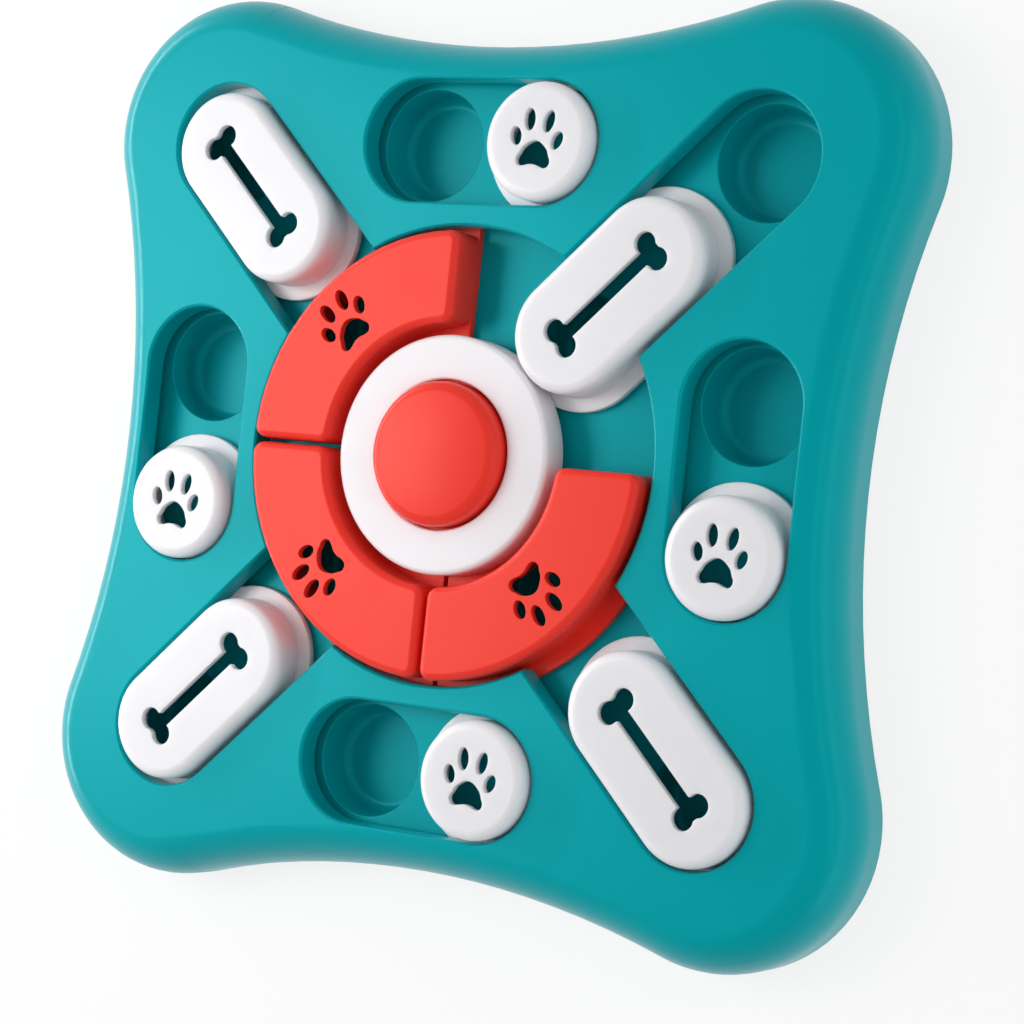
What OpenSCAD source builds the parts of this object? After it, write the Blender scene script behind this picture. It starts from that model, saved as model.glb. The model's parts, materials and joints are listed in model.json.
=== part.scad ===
// Dog puzzle feeder: a four-lobed shell over a tray of treat cups, with sliding
// covers, turning covers around a hub, and a squeaking button in the middle.
// X and Y lie in the tray, Z points up, and the feet stand on Z = 0.

/* [Body] */
// Distance of each lobe's centre from the middle, along X and along Y
lobe_c = 92; // [89:1:97]
// Radius of each lobe in plan
lobe_r = 43; // [40:1:47]
// Width of the rim between a slot and the middle of a side
rim_w = 12; // [9.5:0.5:15]
// Height of the shell from its lower rim to its flat top
body_h = 24; // [23:0.5:30]
// Width of the soft edge around the top
edge_w = 12; // [9:0.5:13]
// Height of the soft edge around the top
edge_h = 16; // [10:0.5:18]
// Wall thickness of the shell
wall = 3; // [2.4:0.1:3.6]
// Height of the shell's lower rim above the floor
lift = 1.5; // [1:0.1:2.5]

/* [Openings in the shell] */
// Radius of the round opening in the middle
ring_r = 66.4; // [65.8:0.1:67.5]
// Half width of the diagonal channels
channel_hw = 18.6; // [17.8:0.1:20]
// Width of the web between the round opening and a slot
slot_web = 6.6; // [6:0.1:7.6]
// Half width of a slot
slot_hw = 18; // [17.7:0.1:18.6]
// Half of the distance between the centres of a slot's two round ends
slot_a = 20.6; // [19:0.1:21.5]
// Depth of the lip around every opening
lip_h = 7.2; // [6.2:0.1:8]
// Thickness of the lip
lip_t = 2.2; // [1.8:0.1:2.6]
// Radius of the rounded top edge of every opening
lip_e = 1.2; // [0.6:0.1:1.6]

/* [Tray] */
// Thickness of the tray's floor
floor_t = 2.5; // [2:0.1:3]
// Thickness of the cup walls and of the tray's rim
cup_t = 2; // [1.6:0.1:2.4]
// Radius of a cup at its mouth
cup_r = 16.5; // [14:0.5:17]
// Radius of the cups under the turning covers
inner_cup_r = 13.5; // [11:0.5:14]
// Depth of every cup
cup_d = 11; // [9:0.5:11.5]
// How much a cup narrows from its mouth to its bottom
cup_draft = 0.8; // [0.4:0.1:1.2]
// Radius of the rounded edge around the bottom of a cup
cup_e = 3; // [1:0.5:4]
// Space between the tray's edge and the shell's wall
tray_gap = 1.5; // [1.2:0.1:2.5]
// Thickness of the ribs under the tray
rib_t = 1.8; // [1.2:0.1:2]

/* [Sliding covers] */
// Radius of the round knobs, and of the knob ends of the long covers
knob_r = 17.1; // [16.4:0.1:17.3]
// Half of the distance between the end centres of a long cover
bone_a = 16; // [14:0.5:17]
// Height of every sliding knob above the shell's top
knob_up = 4; // [3:0.5:7]
// Radius of the rounded top edge of the knobs
knob_e = 3; // [1.5:0.5:4]
// Thickness of the knobs' top and side walls
knob_t = 2.4; // [1.8:0.2:3]
// How far a long cover slides between the turning covers and the end of its channel
bone_play = 3.6; // [3:0.1:5]
// How far a flange reaches out beyond its knob
flange_w = 4.1; // [3.4:0.1:4.4]
// Thickness of every flange
flange_t = 2.5; // [2:0.1:3]
// Running clearance above and below every flange
run = 0.3; // [0.25:0.05:0.5]
// Angle by which the paw prints stand off the Y axis
print_turn = -5; // [-15:1:15]

/* [Turning covers] */
// Gap between the hub ring and a turning cover's raised part
seg_gap_in = 3.4; // [2:0.1:4]
// Gap between a turning cover's raised part and the shell
seg_gap_out = 1.6; // [1:0.1:2.4]
// Height of the turning covers above the shell's top
seg_up = 4.5; // [3:0.5:7]
// Radius of the rounded top edges of the turning covers
seg_e = 2.2; // [1:0.2:2.4]
// Radius of the turning covers' corners in plan
seg_corner = 3.4; // [3:0.2:4]
// How far the turning covers' flange reaches under the shell
seg_hold = 2.4; // [2:0.1:2.8]
// Clearance between the turning covers' flange and the hub's core
seg_run = 0.8; // [0.5:0.1:1.5]
// Gap between two turning covers
seg_gap = 1.3; // [0.9:0.1:2]

/* [Hub and button] */
// Outer radius of the hub ring
hub_r = 34.6; // [34:0.2:35.2]
// Radius of the hub's core, which the covers turn around
core_r = 30.2; // [30:0.1:30.4]
// Height of the hub ring above the shell's top
hub_up = 3; // [2:0.5:5]
// Thickness of the hub ring's top
hub_t = 3; // [2.4:0.2:3.6]
// Radius of the rounded outer edge of the hub ring
hub_e = 1.5; // [0.5:0.1:2]
// Radius of the button
button_r = 20.9; // [19.5:0.1:21.2]
// Clearance around the button
button_gap = 0.9; // [0.5:0.1:1.2]
// Height of the button's crown above the shell's top
button_up = 9.5; // [8:0.5:12]
// Radius of the button's soft edge
button_soft = 3.6; // [2.8:0.2:4.4]
// Radius of the shallow dome of the crown
button_dome = 150; // [100:10:300]
// Wall thickness of the button
button_t = 2.4; // [1.8:0.2:2.6]
// Travel of the button
button_travel = 4; // [3:0.5:5]
// Width of the button's flange under the ring
button_flange = 2; // [1.5:0.1:2.4]

/* [Squeaker, feet and screws] */
// Outer radius of the squeaker's bellows
squeak_r = 15; // [13:0.5:16]
// Wall thickness of the bellows
squeak_t = 1.2; // [1:0.1:1.6]
// Radius of the squeaker's reed plug
reed_r = 4; // [3:0.5:6]
// Radius of a rubber foot
foot_r = 8.5; // [7:0.5:9]
// Height of a rubber foot below the tray
foot_h = 2.8; // [2.7:0.1:4]
// Distance of a foot's centre beyond its lobe's centre, along X and along Y
foot_out = 16; // [15.5:0.5:18]
// Radius of the screws' shank
screw_r = 1.25; // [1:0.05:1.4]
// Radius of the screws' head
head_r = 3; // [2.6:0.1:3.4]
// Height of the screws' head
head_h = 2.2; // [1.6:0.1:2.4]

/* [Hidden] */
$fn = 64;

teal = [0.04, 0.62, 0.64];
red = [0.95, 0.25, 0.2];
white = [0.93, 0.92, 0.93];
rubber = [0.12, 0.3, 0.31];
steel = [0.75, 0.75, 0.77];

// Levels, from the floor up
z_top = lift + body_h;
z_inside = z_top - wall;
z_mid_wall = z_top - wall / 2;
z_lip = z_top - lip_h;
z_flange_top = z_lip - run;
z_flange = z_flange_top - flange_t;
z_floor = z_flange - run;
z_plate = z_floor - floor_t;
z_cup = z_floor - cup_d;
z_skirt = z_cup;
z_rib = z_cup + 2;
z_knob = z_top + knob_up;
z_cover = z_top + seg_up;
z_hub = z_top + hub_up;

// Openings and turning covers, from the hub outwards
slot_c = ring_r + slot_web + slot_hw;
waist = slot_c + slot_hw + rim_w;
seg_in = hub_r + seg_gap_in;
seg_out = ring_r - seg_gap_out;
seg_flange_in = core_r + seg_run;
seg_flange_out = ring_r + seg_hold;
inner_cup_c = (seg_in + seg_out) / 2;

// The side's hollow arc touches both lobes: its centre lies outside the body
side_r = (pow(waist - lobe_c, 2) + lobe_c * lobe_c - lobe_r * lobe_r) / (2 * (lobe_r - waist + lobe_c));
side_c = waist + side_r;
side_half = atan(lobe_c / (side_c - lobe_c));
// Faces that would touch or cross along one line are set apart by this step
seam = 0.04;

// Sliding covers: where they lie, between the stops that their openings make
stop_gap = 0.4;
flange_r = knob_r + flange_w;
slot_stop = slot_a + slot_hw - knob_r - stop_gap;
bone_near = hub_r + bone_a + knob_r + stop_gap;
bone_in = seg_flange_out + bone_a + flange_r + stop_gap;
bone_far = bone_in + bone_play;
channel_end = bone_far + bone_a + knob_r + stop_gap;
corner_cup_c = channel_end - channel_hw;
print_h = 30;

// Hub and button
hole_r = button_r + button_gap;
hole_e = 0.6;
button_flange_r = hole_r + button_flange;
button_flange_t = 2;
core_in = button_flange_r + 0.4;
z_button = z_floor + run + button_travel;
z_button_flange = z_hub - hub_t - run;
z_crown = z_top + button_up;
z_pusher = z_top + 1;
pusher_r = 7;

// Squeaker
folds = 3;
fold_in = 2.4;
well_r = squeak_r + 2;
sound_hole_r = 1.2;

// Screws through the tray, into the shell's bosses and into the hub's core
boss_r = 4;
boss_x = 54;
boss_y = waist - 17;
boss_places = [for (q = [0:3], s = [-1, 1]) [90 * q, s * boss_x, boss_y]];
hub_screw_places = [for (q = [0:3]) [90 * q + 22.5, (core_in + core_r) / 2, 0]];
screw_len = 8;
pilot_h = 7;
pilot_r = screw_r + 0.05;
screw_hole_r = screw_r + 0.45;

// Feet
foot_c = lobe_c + foot_out;
foot_boss_r = foot_r + 1.5;
peg_r = 2.4;
peg_h = 4;
feet_places = [for (q = [0:3]) [90 * q, foot_c, foot_c]];

// Cups: direction, distance from the middle, sideways, and mouth radius
slot_sides = [1, 1, -1, -1];
cups = concat(
    [for (q = [0:3]) [90 * q, slot_c, slot_sides[q] * slot_stop, cup_r]],
    [for (q = [0:3]) [90 * q + 45, corner_cup_c, 0, cup_r]],
    [for (q = [0:3]) [90 * q + 45, inner_cup_c, 0, inner_cup_r]]);

// ---- Profiles -----------------------------------------------------------

function arc(c, r, from, to, n) =
    [for (i = [0:n]) let (a = from + (to - from) * i / n) c + r * [cos(a), sin(a)]];

// A list without its first and last entry
function inside(list) = [for (i = [1:len(list) - 2]) list[i]];

// A quarter of an ellipse from the wall (at depth h) up to the flat top (at inset w)
function soft_edge(w, h, n) =
    [for (i = [0:n]) let (a = 90 * i / n) [w * (1 - cos(a)), h * (sin(a) - 1)]];

function oval(c, half_w, half_l, lean, n) =
    [for (i = [0:n - 1]) let (a = 360 * i / n, u = half_w * cos(a), v = half_l * sin(a))
        c + [u * cos(lean) - v * sin(lean), u * sin(lean) + v * cos(lean)]];

function plain_section(r, z0, z1) = [[0, z0], [r, z0], [r, z1], [0, z1]];

// A wall at r with a rounded top edge
function knob_section(r, z0, z1, e) =
    concat([[0, z0], [r, z0]], arc([r - e, z1 - e], e, 0, 90, 6), [[0, z1]]);

// A wall at r that flares into a rounded edge at z1
function opening_section(r, z0, z1, e) =
    concat([[0, z0], [r, z0]], arc([r + e, z1 - e], e, 180, 90, 5), [[r + e, z1 + 1], [0, z1 + 1]]);

// A drafted wall over a floor with a rounded edge
function cup_section(r, z0, z1) =
    concat([[0, z0]], arc([r - cup_draft - cup_e, z0 + cup_e], cup_e, -90, 0, 5), [[r, z1], [0, z1]]);

// The section and its mirror image, as one outline
function both_sides(section) =
    concat([for (p = section) if (p[0] > 0) p],
        [for (i = [len(section) - 1:-1:0]) if (section[i][0] > 0) [-section[i][0], section[i][1]]]);

// A bellows wall, in and out again with every fold
function zigzag(r, z0, z1) =
    [for (i = [0:2 * folds]) [r - (i % 2 == 0 ? fold_in : 0), z0 + (z1 - z0) * i / (2 * folds)]];

// Outline of a turning cover's raised part in the first quarter, inset by d, at height z:
// from the first outer corner round to the first inner corner, opposite it
function cover_ring(d, z) =
    let (
        e = seg_corner - d,
        y = seg_gap / 2 + seg_corner,
        r_out = seg_out - seg_corner,
        r_in = seg_in + seg_corner,
        turn_out = asin(y / r_out),
        turn_in = asin(y / r_in),
        corner_out = arc([r_out * cos(turn_out), y], e, -90, turn_out, 4),
        corner_in = arc([r_in * cos(turn_in), y], e, 180 + turn_in, 270, 4),
        outer = arc([0, 0], seg_out - d, turn_out, 90 - turn_out, 16),
        inner = arc([0, 0], seg_in + d, 90 - turn_in, turn_in, 16))
    [for (p = concat(corner_out, inside(outer), swapped(corner_out), swapped(corner_in), inside(inner), corner_in))
        [p[0], p[1], z]];

// Points mirrored in the diagonal, in the opposite order
function swapped(points) = [for (i = [len(points) - 1:-1:0]) [points[i][1], points[i][0]]];

function turned(points, angle) =
    [for (p = points) [p[0] * cos(angle) - p[1] * sin(angle), p[0] * sin(angle) + p[1] * cos(angle)]];

// The body's four-lobed outline, inset
function lobed_outline(inset) =
    let (
        side = arc([side_c, 0], side_r + inset, 180 + side_half, 180 - side_half, 12),
        lobe = arc([lobe_c, lobe_c], lobe_r - inset, -side_half, 90 + side_half, 24))
    [for (q = [0:3]) each turned(concat(inside(side), lobe), 90 * q)];

// ---- Building blocks ----------------------------------------------------

// Children at each place: direction, then along and across it
module at(places) {
    for (p = places) rotate([0, 0, p[0]]) translate([p[1], p[2], 0]) children();
}

// A section swept around a stadium that lies along X, with its ends at -a and a
module stadium(a, section) {
    if (a > 0) {
        for (s = [0, 1])
            rotate([0, 0, 180 * s]) translate([a, 0, 0]) rotate([0, 0, -90])
                rotate_extrude(angle = 180) polygon(section);
        translate([-a, 0, 0]) rotate([90, 0, 90]) linear_extrude(2 * a) polygon(both_sides(section));
    } else {
        rotate_extrude() polygon(section);
    }
}

// The body's four-lobed form, inset from the outline, with a soft top edge; its square core
// may end a little lower than the rest
module lobed_form(inset, z0, z1, w, h, n, core_drop = 0) {
    wall_up = concat([[0, z0 - z1]], soft_edge(w, h, n));
    lobe = concat([[0, z0]], [for (p = wall_up) [lobe_r - inset - p[0], z1 + p[1]]], [[0, z1]]);
    side = concat([for (p = wall_up) [side_r + inset + seam + p[0], z1 + p[1]]],
        [[side_r + lobe_r, z1], [side_r + lobe_r, z0]]);
    for (q = [0:3]) rotate([0, 0, 90 * q]) {
        translate([lobe_c, lobe_c, 0]) rotate([0, 0, -side_half])
            rotate_extrude(angle = 90 + 2 * side_half) polygon(lobe);
        translate([side_c, 0, 0]) rotate([0, 0, 180 - side_half])
            rotate_extrude(angle = 2 * side_half) polygon(side);
    }
    translate([-lobe_c, -lobe_c, z0]) cube([2 * lobe_c, 2 * lobe_c, z1 - z0 - core_drop]);
}

// Every opening of the shell: with rounded edges as cutters, or grown by g as lips
module openings(g, z0, z1, e) {
    function section(r) = e > 0 ? opening_section(r + g, z0, z1, e) : plain_section(r + g, z0, z1);
    channel_start = ring_r - channel_hw;
    rotate_extrude() polygon(section(ring_r));
    at([for (q = [0:3]) [90 * q + 45, (corner_cup_c + channel_start) / 2, 0]])
        translate([0, 0, seam]) stadium((corner_cup_c - channel_start) / 2, section(channel_hw));
    at([for (q = [0:3]) [90 * q, 0, slot_c]]) stadium(slot_a, section(slot_hw));
}

// Four toes and a pad, toes towards +Y
module paw_print() {
    toe_w = 1.8;
    toe_at = [3.1, 5.6];
    outer_toe_at = [6.7, 0.5];
    pad_at = [0, -3.5];
    pad_r = 3.3;
    heel_x = 3.8;
    heel_y = -6;
    heel_r = 1.75;
    hollow_at = [0, -12];
    hollow_r = 5.1;
    translate([0, 0, z_floor]) linear_extrude(print_h) {
        for (s = [-1, 1]) {
            polygon(oval([s * outer_toe_at[0], outer_toe_at[1]], toe_w, 1.5 * toe_w, -18 * s, 20));
            polygon(oval([s * toe_at[0], toe_at[1]], toe_w, 1.8 * toe_w, -8 * s, 20));
        }
        polygon(concat(
            arc(pad_at, pad_r, 25, 155, 10),
            arc([-heel_x, heel_y], heel_r, 155, 290, 8),
            arc(hollow_at, hollow_r, 118, 62, 6),
            arc([heel_x, heel_y], heel_r, -110, 25, 8)));
    }
}

// A bone along X
module bone_print() {
    shaft_w = 4.6;
    end_x = 18.1;
    end_y = 2.9;
    end_r = 3.3;
    translate([0, 0, z_floor]) linear_extrude(print_h) {
        square([2 * end_x, shaft_w], center = true);
        for (sx = [-1, 1]) {
            translate([sx * (end_x + end_r / 4), 0]) square(end_r, center = true);
            for (sy = [-1, 1]) translate([sx * end_x, sy * end_y]) circle(end_r);
        }
    }
}

// A solid through rings of points, all with the same even number of points, from the bottom up;
// its ends are strips of faces between each point and the one as far from the list's other end
module loft(rings) {
    n = len(rings[0]);
    m = len(rings);
    polyhedron(
        points = [for (ring = rings) each ring],
        faces = concat([for (i = [0:n / 2 - 2]) [i, i + 1, n - 2 - i, n - 1 - i]],
            [for (k = [0:m - 2], i = [0:n - 1])
                [k * n + i, (k + 1) * n + i, (k + 1) * n + (i + 1) % n, k * n + (i + 1) % n]],
            [for (i = [0:n / 2 - 2]) [for (j = [n - 1 - i, n - 2 - i, i + 1, i]) (m - 1) * n + j]]));
}

// The first quarter of a ring, kept d away from the planes halfway to the next covers
module quarter_ring(r_in, r_out, z0, z1, d) {
    intersection() {
        rotate_extrude() polygon([[r_in, z0], [r_out, z0], [r_out, z1], [r_in, z1]]);
        translate([d, d, z0 - 1]) cube([r_out, r_out, z1 - z0 + 2]);
    }
}

// A hollow sliding cover on its flange; its knob is a stadium, or a disc where a is 0
module sliding_cover(a) {
    difference() {
        union() {
            stadium(a, plain_section(flange_r, z_flange, z_flange_top));
            stadium(a, knob_section(knob_r, z_flange + flange_t / 2, z_knob, knob_e));
        }
        stadium(a, knob_section(knob_r - knob_t, z_flange - 1, z_knob - knob_t, knob_e / 2));
        children();
    }
}

// A pan-head screw: its head lies below the origin and its tip points up
module screw() {
    head_e = 1;
    recess_l = 3.4;
    recess_t = 0.8;
    difference() {
        union() {
            translate([0, 0, -head_h]) rotate_extrude()
                polygon(concat([[0, 0]], arc([head_r - head_e, head_e], head_e, -90, 0, 5),
                    [[head_r, head_h], [0, head_h]]));
            translate([0, 0, -head_h / 2]) cylinder(h = screw_len - screw_r + head_h / 2, r = screw_r);
            translate([0, 0, screw_len - screw_r]) cylinder(h = screw_r, r1 = screw_r, r2 = screw_r / 3);
        }
        for (a = [0, 90]) rotate([0, 0, a])
            translate([0, 0, -head_h]) cube([recess_l, recess_t, head_h], center = true);
    }
}

// ---- Parts --------------------------------------------------------------

module top_shell() color(teal) difference() {
    lobed_form(0, lift, z_top, edge_w, edge_h, 10);
    difference() {
        lobed_form(wall, lift - 1, z_inside, edge_w - wall, edge_h - wall, 8, core_drop = seam);
        openings(lip_t, z_lip, z_mid_wall, 0);
        at(boss_places) translate([0, 0, z_floor]) cylinder(h = z_mid_wall - z_floor, r = boss_r);
    }
    openings(0, lift - 2, z_top + seam, lip_e);
    at(boss_places) translate([0, 0, z_floor - 1]) cylinder(h = pilot_h + 1, r = pilot_r);
}

module base_tray() color(teal) difference() {
    union() {
        translate([0, 0, z_plate]) linear_extrude(floor_t) polygon(lobed_outline(wall + tray_gap));
        translate([0, 0, z_skirt]) linear_extrude(z_floor - 1 - z_skirt) difference() {
            polygon(lobed_outline(wall + tray_gap));
            polygon(lobed_outline(wall + tray_gap + cup_t));
        }
        for (c = cups) at([c]) rotate_extrude() polygon(cup_section(c[3] + cup_t, z_cup - cup_t, z_floor - 1));
        translate([0, 0, z_cup - cup_t]) cylinder(h = cup_d + cup_t - 1, r = well_r + cup_t);
        at(feet_places) translate([0, 0, foot_h]) cylinder(h = z_floor - 1 - foot_h, r = foot_boss_r);
        for (q = [0:3]) {
            rotate([0, 0, 90 * q]) translate([well_r, -rib_t / 2, z_rib])
                cube([waist - wall - tray_gap - well_r - 1, rib_t, z_floor - 1 - z_rib]);
            rotate([0, 0, 90 * q + 45]) translate([well_r, -rib_t / 2, z_rib])
                cube([foot_c * sqrt(2) - well_r, rib_t, z_floor - 1 - z_rib]);
        }
    }
    for (c = cups) at([c]) rotate_extrude() polygon(concat(
        inside(cup_section(c[3], z_cup, z_floor)), [[c[3], z_floor + 1], [0, z_floor + 1], [0, z_cup]]));
    translate([0, 0, z_cup]) cylinder(h = cup_d + 1, r = well_r);
    at([for (a = [0:60:300]) [a, squeak_r / 2, 0]])
        translate([0, 0, z_cup - cup_t - 1]) cylinder(h = cup_t + 2, r = sound_hole_r);
    at(concat(boss_places, hub_screw_places))
        translate([0, 0, z_plate - 1]) cylinder(h = floor_t + 2, r = screw_hole_r);
    at(feet_places) translate([0, 0, foot_h - 1]) cylinder(h = peg_h + 2, r = peg_r + 0.1);
}

module hub_ring() color(white) difference() {
    rotate_extrude() polygon(concat(
        [[core_in, z_floor], [core_r, z_floor], [core_r, z_lip], [hub_r, z_lip]],
        arc([hub_r - hub_e, z_hub - hub_e], hub_e, 0, 90, 6),
        arc([hole_r + hole_e, z_hub - hole_e], hole_e, 90, 180, 4),
        [[hole_r, z_hub - hub_t], [core_in, z_hub - hub_t]]));
    at(hub_screw_places) translate([0, 0, z_floor - 1]) cylinder(h = pilot_h + 1, r = pilot_r);
}

// The crown's dome and its soft edge touch: both arcs end at the same angle
module button() color(red) {
    edge_x = button_r - button_soft;
    reach = sqrt(pow(button_dome - button_soft, 2) - edge_x * edge_x);
    edge_z = z_crown - button_dome + reach;
    meet = atan2(reach, edge_x);
    rotate_extrude() polygon(concat(
        [[button_r - button_t, z_button], [button_r, z_button],
            [button_r, z_button_flange - button_flange_t],
            [button_flange_r, z_button_flange - button_flange_t],
            [button_flange_r, z_button_flange], [button_r, z_button_flange]],
        arc([edge_x, edge_z], button_soft, 0, meet, 7),
        [for (a = [1:5]) let (t = meet + (90 - meet) * a / 5)
            [button_dome * cos(t), z_crown - button_dome + button_dome * sin(t)]],
        [[0, z_pusher], [pusher_r, z_pusher]],
        arc([edge_x, edge_z], button_soft - button_t, 90, 0, 4)));
}

module squeaker_bellows() color(white) rotate_extrude() polygon(concat(
    [[reed_r, z_cup]],
    zigzag(squeak_r, z_cup, z_pusher),
    [[0, z_pusher], [0, z_pusher - squeak_t]],
    [for (p = zigzag(squeak_r - squeak_t, z_pusher - squeak_t, z_cup + squeak_t)) p],
    [[reed_r, z_cup + squeak_t]]));

// A plug through the bellows' floor, held by its rim, with the reed's bore through it
module squeaker_reed() color(teal) {
    plug_h = 6;
    rim = 1.5;
    bore_r = 1.2;
    z_rim = z_cup + squeak_t + 0.1;
    rotate_extrude() polygon([[bore_r, z_cup], [reed_r - 0.1, z_cup], [reed_r - 0.1, z_rim],
        [reed_r + rim, z_rim], [reed_r + rim, z_rim + rim], [reed_r - 1, z_cup + plug_h],
        [bore_r, z_cup + plug_h]]);
}

module turning_cover(q) color(red) rotate([0, 0, 90 * q]) difference() {
    union() {
        quarter_ring(seg_flange_in, seg_flange_out, z_flange, z_flange_top, seg_gap / 2);
        loft(concat([cover_ring(0, z_flange + flange_t / 2)],
            [for (p = soft_edge(seg_e, seg_e, 5)) cover_ring(p[0], z_cover + p[1])]));
    }
    quarter_ring(seg_in + knob_t, seg_out - knob_t, z_flange - 1, z_cover - knob_t, seg_gap / 2 + knob_t);
    rotate([0, 0, 45]) translate([inner_cup_c, 0, 0]) rotate([0, 0, -90]) paw_print();
}

// In the slot at the end of the direction given, away from the cup
module paw_slider(q) color(white)
    rotate([0, 0, 90 * q]) translate([slot_c, -slot_sides[q] * slot_stop, 0]) rotate([0, 0, -90 * q])
        sliding_cover(0) rotate([0, 0, print_turn]) paw_print();

// In the diagonal channel of quarter q, at distance d from the middle
module bone_slider(q, d) color(white)
    rotate([0, 0, 90 * q + 45]) translate([d, 0, 0]) sliding_cover(bone_a) bone_print();

module foot(q) color(rubber) at([feet_places[q]]) {
    sole_e = 0.6;
    rotate_extrude() polygon([[0, 0], [foot_r - sole_e, 0], [foot_r, sole_e], [foot_r, foot_h],
        [peg_r, foot_h], [peg_r, foot_h + peg_h - sole_e], [peg_r - sole_e, foot_h + peg_h], [0, foot_h + peg_h]]);
}

module screws(places) color(steel) at(places) translate([0, 0, z_plate]) screw();

top_shell();
base_tray();
hub_ring();
button();
squeaker_bellows();
squeaker_reed();
turning_cover(1);  // turning_cover_1
turning_cover(2);  // turning_cover_2
turning_cover(3);  // turning_cover_3
paw_slider(1);  // paw_slider_back
paw_slider(2);  // paw_slider_left
paw_slider(3);  // paw_slider_front
paw_slider(0);  // paw_slider_right
bone_slider(0, bone_near);  // bone_slider_right_back
bone_slider(1, bone_in);  // bone_slider_left_back
bone_slider(2, (bone_in + bone_far) / 2);  // bone_slider_left_front
bone_slider(3, bone_far - stop_gap);  // bone_slider_right_front
foot(0);  // foot_right_back
foot(1);  // foot_left_back
foot(2);  // foot_left_front
foot(3);  // foot_right_front
screws(boss_places);  // shell_screws
screws(hub_screw_places);  // hub_screws
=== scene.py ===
import json
import math
import bmesh
import bpy
from mathutils import Matrix, Vector
from mathutils.bvhtree import BVHTree


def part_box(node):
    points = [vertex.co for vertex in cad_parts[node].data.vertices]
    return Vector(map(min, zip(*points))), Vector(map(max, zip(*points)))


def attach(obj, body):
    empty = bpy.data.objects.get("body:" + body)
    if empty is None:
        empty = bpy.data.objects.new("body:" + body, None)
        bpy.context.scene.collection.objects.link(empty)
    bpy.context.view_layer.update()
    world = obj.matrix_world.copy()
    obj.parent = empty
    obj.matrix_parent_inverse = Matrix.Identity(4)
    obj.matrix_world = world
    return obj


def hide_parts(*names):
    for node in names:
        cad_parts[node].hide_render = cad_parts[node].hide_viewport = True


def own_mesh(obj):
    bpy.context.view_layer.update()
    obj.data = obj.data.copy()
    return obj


# Dog puzzle feeder: a teal four-lobed shell over a tray of treat cups, white sliding
# covers, red turning covers round a white hub, and a red squeaking button.
# Lengths are in metres, angles in degrees and lamps in watts.

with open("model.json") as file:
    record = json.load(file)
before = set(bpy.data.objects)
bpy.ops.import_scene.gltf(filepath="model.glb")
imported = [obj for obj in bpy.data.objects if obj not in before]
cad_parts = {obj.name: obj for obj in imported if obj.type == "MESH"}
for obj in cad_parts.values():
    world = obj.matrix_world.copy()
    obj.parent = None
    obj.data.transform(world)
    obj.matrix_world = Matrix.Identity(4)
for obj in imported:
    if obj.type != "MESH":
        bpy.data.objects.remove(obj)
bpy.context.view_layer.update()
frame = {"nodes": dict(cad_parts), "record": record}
bodyOf = {node: body for body, members in frame["record"]["behaviour"]["bodies"].items()
          for node in members}
slotOf = {part["node"]: part["material_slot"] for part in frame["record"]["subparts"]}


def stand(name, data):
    # a new object in the scene, at the origin
    thing = bpy.data.objects.new(name, data)
    bpy.context.scene.collection.objects.link(thing)
    return thing


def linear(hexColour):
    # a colour as it is picked on screen, for the shader
    channels = [int(hexColour[i:i + 2], 16) / 255 for i in (1, 3, 5)]
    return [c / 12.92 if c <= 0.04045 else ((c + 0.055) / 1.055) ** 2.4 for c in channels] + [1]


noiseDetail = dict(mottle=3, gloss=4, waves=1, grain=2)
glossSpan = (0.3, 0.7)  # the noise at which the plastic is at its smoothest and its dullest


def mouldedPlastic(name, look):
    # an even colour with faint mottling, a fine spark-eroded grain and slow waves of shrinkage
    material = bpy.data.materials.new(name)
    material.use_nodes = True
    tree = material.node_tree
    shader = tree.nodes["Principled BSDF"]
    shader.inputs["IOR"].default_value = look["ior"]
    shader.inputs["Specular IOR Level"].default_value = look["specular"]
    shader.inputs["Specular Tint"].default_value = linear(look.get("glint", "#FFFFFF"))
    shader.inputs["Metallic"].default_value = look.get("metallic", 0)
    shader.inputs["Subsurface Weight"].default_value = look.get("depth", 0)
    shader.inputs["Subsurface Radius"].default_value = look.get("depthRadius", (1, 1, 1))
    shader.inputs["Subsurface Scale"].default_value = look.get("depthScale", 0.001)
    place = tree.nodes.new("ShaderNodeTexCoord")

    def noise(part):
        node = tree.nodes.new("ShaderNodeTexNoise")
        node.inputs["Scale"].default_value = look[part + "Scale"]
        node.inputs["Detail"].default_value = noiseDetail[part]
        tree.links.new(place.outputs["Object"], node.inputs["Vector"])
        return node.outputs["Fac"]

    mottle = tree.nodes.new("ShaderNodeMix")
    mottle.data_type = "RGBA"
    mottle.inputs["A"].default_value = linear(look["colour"])
    mottle.inputs["B"].default_value = linear(look["mottle"])
    tree.links.new(noise("mottle"), mottle.inputs["Factor"])
    tree.links.new(mottle.outputs["Result"], shader.inputs["Base Color"])

    gloss = tree.nodes.new("ShaderNodeMapRange")
    gloss.inputs["From Min"].default_value, gloss.inputs["From Max"].default_value = glossSpan
    gloss.inputs["To Min"].default_value, gloss.inputs["To Max"].default_value = look["roughness"]
    tree.links.new(noise("gloss"), gloss.inputs["Value"])
    tree.links.new(gloss.outputs["Result"], shader.inputs["Roughness"])

    waves = tree.nodes.new("ShaderNodeBump")
    waves.inputs["Distance"].default_value = look["wavesDepth"]
    tree.links.new(noise("waves"), waves.inputs["Height"])
    grain = tree.nodes.new("ShaderNodeBump")
    grain.inputs["Distance"].default_value = look["grainDepth"]
    tree.links.new(noise("grain"), grain.inputs["Height"])
    tree.links.new(waves.outputs["Normal"], grain.inputs["Normal"])
    tree.links.new(grain.outputs["Normal"], shader.inputs["Normal"])
    return material


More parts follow.
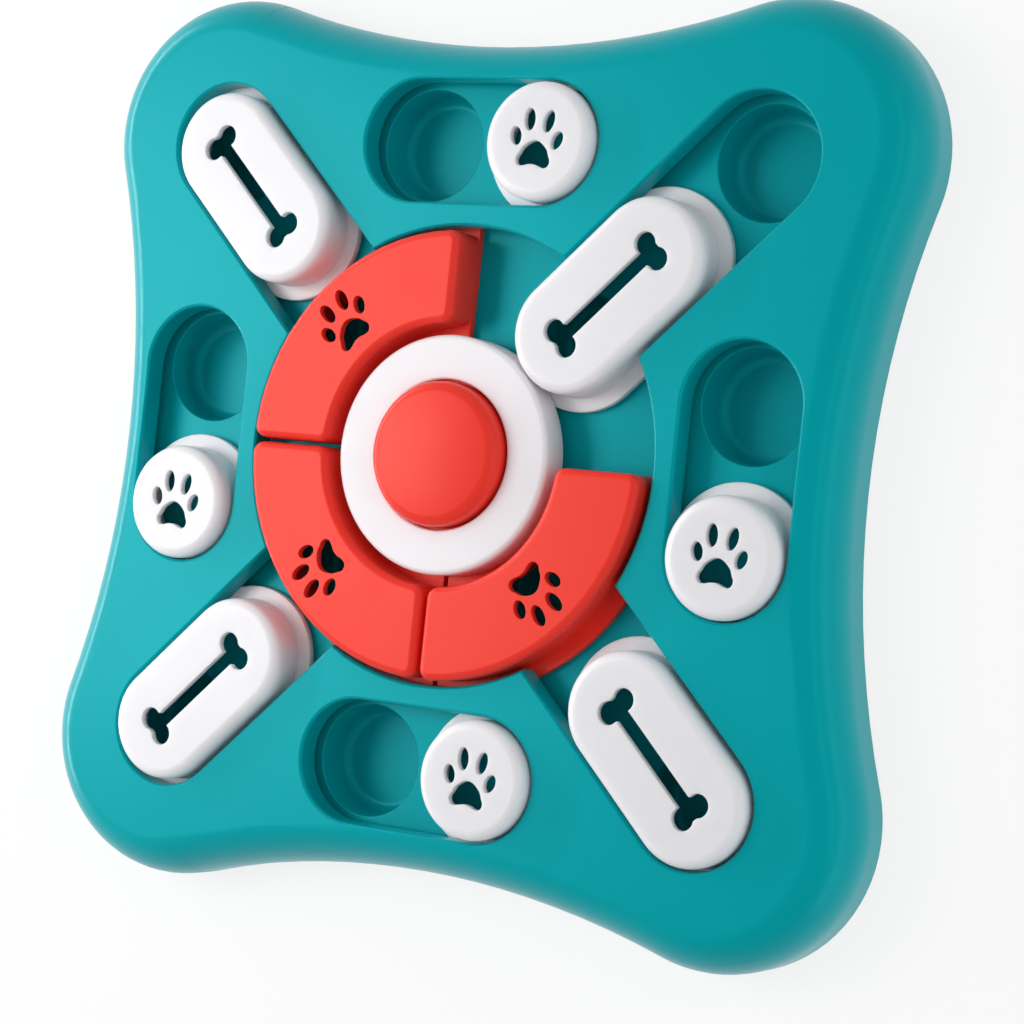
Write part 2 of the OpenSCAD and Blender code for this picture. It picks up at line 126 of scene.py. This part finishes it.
# a roughness that crosses 0.274 within a piece leaves patches once a render is denoised
finishes = {
    "teal_plastic": dict(
        colour="#009BA3", mottle="#01A0A8", mottleScale=14, ior=1.5, specular=0.5, glint="#3CCBD2",
        roughness=(0.28, 0.31), glossScale=60, wavesScale=18, wavesDepth=0.00025,
        grainScale=2600, grainDepth=0.000012),
    "white_plastic": dict(
        colour="#EDEBEF", mottle="#F0EEF2", mottleScale=20, ior=1.5, specular=0.4,
        depth=1, depthRadius=(1, 0.98, 0.97), depthScale=0.003,
        roughness=(0.28, 0.36), glossScale=70, wavesScale=22, wavesDepth=0.00015,
        grainScale=2800, grainDepth=0.00001),
    "red_plastic": dict(
        colour="#F2362A", mottle="#F43B2F", mottleScale=20, ior=1.5, specular=0.45, glint="#FF9C90",
        roughness=(0.28, 0.32), glossScale=70, wavesScale=22, wavesDepth=0.00015,
        grainScale=2800, grainDepth=0.00001),
    "squeaker_vinyl": dict(
        colour="#E3E1DC", mottle="#D9D6CF", mottleScale=60, ior=1.5, specular=0.6,
        roughness=(0.28, 0.4), glossScale=90, wavesScale=60, wavesDepth=0.0002,
        grainScale=1500, grainDepth=0.00001),
    "squeaker_plug": dict(
        colour="#0C8F95", mottle="#0A868C", mottleScale=80, ior=1.5, specular=0.5,
        roughness=(0.35, 0.45), glossScale=90, wavesScale=60, wavesDepth=0.0001,
        grainScale=2000, grainDepth=0.00001),
    "foot_rubber": dict(
        colour="#1D4C50", mottle="#245A5E", mottleScale=120, ior=1.5, specular=0.3,
        roughness=(0.72, 0.85), glossScale=200, wavesScale=80, wavesDepth=0.0002,
        grainScale=1800, grainDepth=0.00004),
    "screw_steel": dict(
        colour="#B9BABD", mottle="#AEB0B4", mottleScale=300, ior=2.5, specular=0.5, metallic=1,
        roughness=(0.28, 0.38), glossScale=400, wavesScale=200, wavesDepth=0.00003,
        grainScale=3000, grainDepth=0.000005),
}
materials = {name: mouldedPlastic(name, look) for name, look in finishes.items()}
print("materials:", len(materials))


def roundPad(shape, pad):
    # the wide pad of a paw print bulges at its two sides, between its crown and its heels
    def local(co):
        away = Vector((co.x - pad["centre"][0], co.y - pad["centre"][1]))
        away.rotate(Matrix.Rotation(-math.radians(pad["turn"]), 2))
        return away

    def along(edge):
        ends = sorted((local(v.co) for v in edge.verts), key=lambda spot: -spot.y)
        return all((Vector((abs(spot.x), spot.y)) - Vector(corner)).length < pad["near"]
                   for spot, corner in zip(ends, pad["side"]))

    def overEachOther(lower, upper):
        rise = upper.co - lower.co
        return rise.z > pad["near"] and rise.xy.length < pad["sameSpot"]

    flanks = [e for e in shape.edges if along(e)]
    halved = bmesh.ops.bisect_edges(shape, edges=flanks, cuts=pad["cuts"])
    added = [part for part in halved["geom_split"] if isinstance(part, bmesh.types.BMVert)]
    for lower in added:
        for upper in added:
            if overEachOther(lower, upper):
                wall = [face for face in lower.link_faces if face in upper.link_faces]
                if wall:
                    bmesh.utils.face_split(wall[0], lower, upper)
    middle = Vector(pad["middle"])
    for vert in shape.verts:
        out = local(vert.co) - middle
        angle = math.degrees(math.atan2(out.y, abs(out.x)))
        if out.length < pad["reach"] and angle > pad["lowest"]:
            push = out * pad["fullness"] * math.exp(-((angle - pad["at"]) / pad["spread"]) ** 2)
            push.rotate(Matrix.Rotation(math.radians(pad["turn"]), 2))
            vert.co.x += push.x
            vert.co.y += push.y


def roundEdges(shape, work):
    # a small radius on the sharp edges
    skin = BVHTree.FromBMesh(shape)
    crease = math.radians(work["crease"])
    sharp = [e for e in shape.edges if e.is_manifold and e.calc_face_angle() > crease
             and e.calc_length() > work["shortest"] and (e.is_convex or work["inner"])]
    bmesh.ops.bevel(shape, geom=sharp, offset=work["radius"], offset_type="OFFSET",
                    segments=work["steps"], profile=0.5, affect="EDGES",
                    clamp_overlap=False, loop_slide=True, material=-1)
    for vert in shape.verts:  # a corner that the bevel has thrown out goes back to the surface
        spot, _, _, away = skin.find_nearest(vert.co)
        if away > work["stray"]:
            vert.co = spot


def smoothPiece(node, work):
    # the node's shape with its doubles merged, its edges rounded and smooth shading
    shape = bmesh.new()
    shape.from_mesh(frame["nodes"][node].data)
    bmesh.ops.remove_doubles(shape, verts=shape.verts, dist=work["merge"])
    bmesh.ops.dissolve_limit(shape, angle_limit=math.radians(work["flat"]),
                             verts=shape.verts, edges=shape.edges)
    if "pad" in work:
        roundPad(shape, work["pad"])
    if work["radius"] > 0:
        roundEdges(shape, work)
    for face in shape.faces:
        face.smooth = True
    crease = math.radians(work["crease"])
    for edge in shape.edges:
        edge.smooth = not edge.is_manifold or edge.calc_face_angle() < crease
    mesh = bpy.data.meshes.new(node + "_piece")
    shape.to_mesh(mesh)
    shape.free()
    piece = stand(node + "_piece", mesh)
    even = piece.modifiers.new("Even", "WEIGHTED_NORMAL")
    even.keep_sharp = True
    return piece


def dress(piece, *nodesReplaced):
    # its finish, the body it moves with and the nodes it stands for
    first = nodesReplaced[0]
    piece.data.materials.append(materials[slotOf[first]])
    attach(piece, bodyOf[first])
    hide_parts(*nodesReplaced)
    return piece


edgeWork = dict(merge=2e-6, flat=0.4, crease=34, radius=0.00025, steps=2, shortest=0.0001,
                inner=True, stray=0.00015)
shellWork = dict(edgeWork, radius=0)  # its lips and its soft edge are round as they are
trayWork = dict(edgeWork, radius=0.0004, steps=3)
printWork = dict(edgeWork, inner=False)  # the covers with a paw print
# the pad's right side from crown to heel, and the bulge round its middle, in the print's frame
padWork = dict(side=((0.00299, -0.00211), (0.00539, -0.00526)), near=0.0004, sameSpot=1e-6,
               cuts=6, middle=(0, -0.0046), reach=0.0055, lowest=-12, fullness=0.15, at=27,
               spread=22)
knobPrint = dict(turn=-5)
coverPrint = dict(quarter=90, fromHub=0.0514)

workOf = {node: edgeWork for node in frame["nodes"]}
workOf.update(top_shell=shellWork, base_tray=trayWork)
for side in ("back", "left", "front", "right"):
    low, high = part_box("paw_slider_" + side)
    centre = [(low[axis] + high[axis]) / 2 for axis in (0, 1)]
    workOf["paw_slider_" + side] = dict(
        printWork, pad=dict(padWork, centre=centre, turn=knobPrint["turn"]))
for number in (1, 2, 3):
    middle = coverPrint["quarter"] * (number + 0.5)
    away = math.radians(middle)
    centre = [coverPrint["fromHub"] * share for share in (math.cos(away), math.sin(away))]
    workOf["turning_cover_%d" % number] = dict(
        printWork, pad=dict(padWork, centre=centre, turn=middle - coverPrint["quarter"]))

for node, work in sorted(workOf.items()):
    made = dress(smoothPiece(node, work), node)
    if node == "squeaker_bellows":
        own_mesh(made)
    print("piece:", made.name, len(made.data.polygons), "faces")


cameraLook = dict(place=(0.4047, -0.0214, 0.6986), target=(0.02377, -0.01434, 0.0255),
                  roll=-5.97, lens=96.08, sensor=36, near=0.01)


def makeCamera(look):
    # +y points up in the picture before the roll
    data = bpy.data.cameras.new("camera")
    data.lens = look["lens"]
    data.sensor_width = look["sensor"]
    data.clip_start = look["near"]
    camera = stand("camera", data)
    place = Vector(look["place"])
    ahead = (Vector(look["target"]) - place).normalized()
    level = ahead.cross(Vector((0, 1, 0))).normalized()
    rise = level.cross(ahead)
    roll = math.radians(look["roll"])
    up = rise * math.cos(roll) + level * math.sin(roll)
    turned = Matrix((ahead.cross(up), up, -ahead)).transposed()
    camera.matrix_world = Matrix.Translation(place) @ turned.to_4x4()
    bpy.context.scene.camera = camera


def seenRays(tree):
    # 1 for what the camera sees straight, in a reflection or through something clear
    ray = tree.nodes.new("ShaderNodeLightPath")
    either = tree.nodes.new("ShaderNodeMath")
    either.operation = "MAXIMUM"
    every = tree.nodes.new("ShaderNodeMath")
    every.operation = "MAXIMUM"
    tree.links.new(ray.outputs["Is Camera Ray"], either.inputs[0])
    tree.links.new(ray.outputs["Is Glossy Ray"], either.inputs[1])
    tree.links.new(either.outputs[0], every.inputs[0])
    tree.links.new(ray.outputs["Is Transmission Ray"], every.inputs[1])
    return every.outputs[0]


floorLook = dict(colour="#F4F5F6", size=8, whiten=0.82, roughness=0.45, specular=0.2)


def makeFloor(look):
    shape = bmesh.new()
    bmesh.ops.create_grid(shape, x_segments=1, y_segments=1, size=look["size"] / 2)
    mesh = bpy.data.meshes.new("floor")
    shape.to_mesh(mesh)
    shape.free()
    floor = stand("floor", mesh)
    material = bpy.data.materials.new("floor_paint")
    material.use_nodes = True
    tree = material.node_tree
    shader = tree.nodes["Principled BSDF"]
    shader.inputs["Base Color"].default_value = linear(look["colour"])
    shader.inputs["Roughness"].default_value = look["roughness"]
    shader.inputs["Specular IOR Level"].default_value = look["specular"]
    bright = tree.nodes.new("ShaderNodeEmission")
    seen = tree.nodes.new("ShaderNodeMath")  # the floor looks whiter than it lights
    seen.operation = "MULTIPLY"
    seen.inputs[1].default_value = look["whiten"]
    mix = tree.nodes.new("ShaderNodeMixShader")
    tree.links.new(seenRays(tree), seen.inputs[0])
    tree.links.new(seen.outputs[0], mix.inputs["Fac"])
    tree.links.new(shader.outputs[0], mix.inputs[1])
    tree.links.new(bright.outputs[0], mix.inputs[2])
    tree.links.new(mix.outputs[0], tree.nodes["Material Output"].inputs["Surface"])
    mesh.materials.append(material)


worldLook = dict(colour=(1, 1, 1, 1), ambient=0.44, backdrop=1)


def makeWorld(look):
    world = bpy.data.worlds.new("studio")
    world.use_nodes = True
    bpy.context.scene.world = world
    tree = world.node_tree
    light = tree.nodes["Background"]
    light.inputs["Color"].default_value = look["colour"]
    light.inputs["Strength"].default_value = look["ambient"]
    backdrop = tree.nodes.new("ShaderNodeBackground")
    backdrop.inputs["Color"].default_value = look["colour"]
    backdrop.inputs["Strength"].default_value = look["backdrop"]
    mix = tree.nodes.new("ShaderNodeMixShader")
    tree.links.new(seenRays(tree), mix.inputs["Fac"])
    tree.links.new(light.outputs[0], mix.inputs[1])
    tree.links.new(backdrop.outputs[0], mix.inputs[2])
    tree.links.new(mix.outputs[0], tree.nodes["World Output"].inputs["Surface"])


lamps = {
    "key": dict(place=(-0.45, 0.03, 0.55), target=(-0.02, 0, 0), size=(0.36, 0.36), watts=2.3),
    "strip": dict(place=(0.62, -0.1, 0.07), target=(0.1, 0, 0.03), size=(0.9, 0.1), watts=0.7),
    "glint": dict(place=(-0.75, 0.1, 0.2), target=(0, 0, 0.02), size=(0.9, 0.03), watts=3.2),
    "rim": dict(place=(0.6, 0.12, 0.36), target=(0.05, 0, 0.02), size=(0.9, 0.02), watts=0.6),
}


def softLamp(name, look):
    data = bpy.data.lights.new(name, "AREA")
    data.shape = "RECTANGLE"
    data.size, data.size_y = look["size"]
    data.energy = look["watts"]
    lamp = stand(name, data)
    lamp.location = look["place"]
    aim = Vector(look["target"]) - Vector(look["place"])
    lamp.rotation_euler = aim.to_track_quat("-Z", "Y").to_euler()


makeCamera(cameraLook)
makeFloor(floorLook)
makeWorld(worldLook)
for name, look in lamps.items():
    softLamp(name, look)
bpy.context.scene.view_settings.view_transform = "Standard"
print("stage: camera, floor, world and", len(lamps), "lamps")
